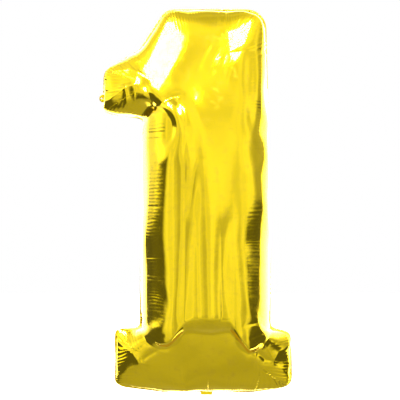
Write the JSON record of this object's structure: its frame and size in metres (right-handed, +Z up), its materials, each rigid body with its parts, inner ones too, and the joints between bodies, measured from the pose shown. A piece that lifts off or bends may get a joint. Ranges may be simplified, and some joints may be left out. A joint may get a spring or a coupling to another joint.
{
  "type": "foil number balloon",
  "caption": "Inflated metallic foil balloon shaped as the digit 1, two welded panels with a folding fill tail and film valve.",
  "frame": {"origin": "middle of the neck root, where the fill tail leaves the bottom weld, in the plane of the weld", "axes": "+Z up along the stem, -Y out of the front panel, +X to the right seen from the front"},
  "size_m": [0.4326, 0.256, 0.8653],
  "materials": {
    "gold_foil": "mirror-bright metallised film under a clear gold lacquer",
    "clear_film": "thin translucent polyethylene film, slightly milky"
  },
  "bodies": {
    "balloon": {"front_foil": "gold_foil", "rear_foil": "gold_foil", "hang_tab": "gold_foil", "valve_front_film": "clear_film", "valve_rear_film": "clear_film"},
    "fill_tail": {"tail_front_foil": "gold_foil", "tail_rear_foil": "gold_foil", "valve_mouth_front_film": "clear_film", "valve_mouth_rear_film": "clear_film"}
  },
  "joints": [
    {"name": "tail_fold", "type": "hinge", "parent": "balloon", "child": "fill_tail", "pos_m": [0, 0, -0.005], "axis": [-1, 0, 0], "range_deg": [0, 198]}
  ]
}
